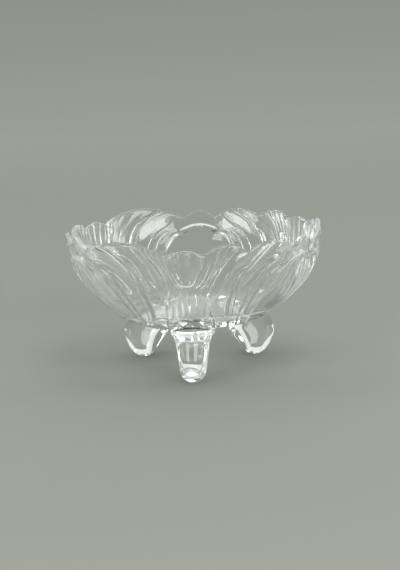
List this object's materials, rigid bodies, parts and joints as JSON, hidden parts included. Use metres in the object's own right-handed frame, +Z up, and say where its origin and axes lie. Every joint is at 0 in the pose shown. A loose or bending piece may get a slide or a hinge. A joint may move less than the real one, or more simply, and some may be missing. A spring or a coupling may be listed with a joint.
{
  "type": "floating candle bowl",
  "caption": "Clear pressed-glass flower bowl with a scalloped rim and fluted petal wall on splayed glass feet, filled with water to float a candle.",
  "frame": {"origin": "on the table plane, on the bowl's axis, midway between the pads of its feet", "axes": "+Z up along the bowl's axis, -Y towards the front foot, +X to the right seen from the front"},
  "size_m": [0.1513, 0.152, 0.087],
  "materials": {
    "clear_glass": "fire-polished clear pressed glass"
  },
  "bodies": {
    "root": {"bowl": "clear_glass", "foot_front": "clear_glass", "foot_rear_left": "clear_glass", "foot_rear_right": "clear_glass"}
  },
  "joints": []
}
